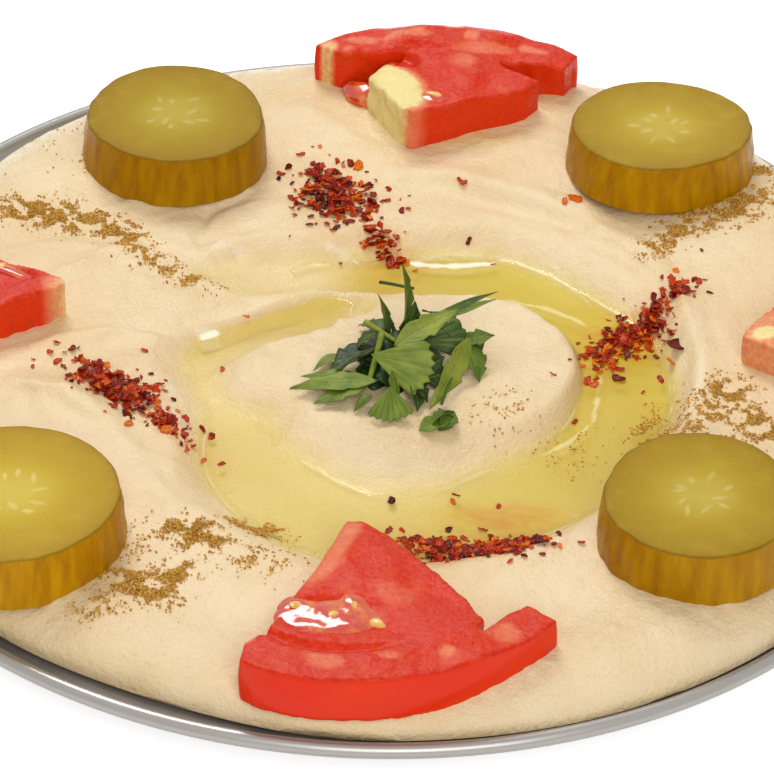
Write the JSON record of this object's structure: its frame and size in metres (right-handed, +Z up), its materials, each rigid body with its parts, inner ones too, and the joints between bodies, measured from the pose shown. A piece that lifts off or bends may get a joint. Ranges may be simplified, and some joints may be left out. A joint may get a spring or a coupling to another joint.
{
  "type": "plate of hummus",
  "caption": "Round steel plate of swirled hummus with an olive oil groove, gherkin slices, tomato pieces and a heap of parsley.",
  "frame": {"origin": "on the surface that the plate stands on, under the plate's middle", "axes": "+Z up out of the plate; -Y towards the front, where the large tomato piece lies; +X to the right"},
  "size_m": [0.2198, 0.2198, 0.037],
  "materials": {
    "plate": "brushed flange with a polished rolled rim",
    "hummus": "smooth moist paste",
    "oil": "clear yellow-green oil",
    "pickle": "wet translucent flesh with a thin olive skin",
    "tomato": "wet red flesh and glossy skin",
    "parsley": "chopped fresh leaves",
    "chilli": "oily dried flakes",
    "cumin": "dry ground spice"
  },
  "bodies": {
    "root": {"plate": "plate", "hummus": "hummus", "olive_oil": "oil", "pickle_back_left": "pickle", "pickle_back_right": "pickle", "pickle_front_right": "pickle", "pickle_front_left": "pickle", "tomato_front": "tomato", "tomato_back": "tomato", "tomato_left": "tomato", "tomato_right": "tomato", "parsley_heap": "parsley", "parsley_scrap": "parsley"}
  },
  "joints": []
}
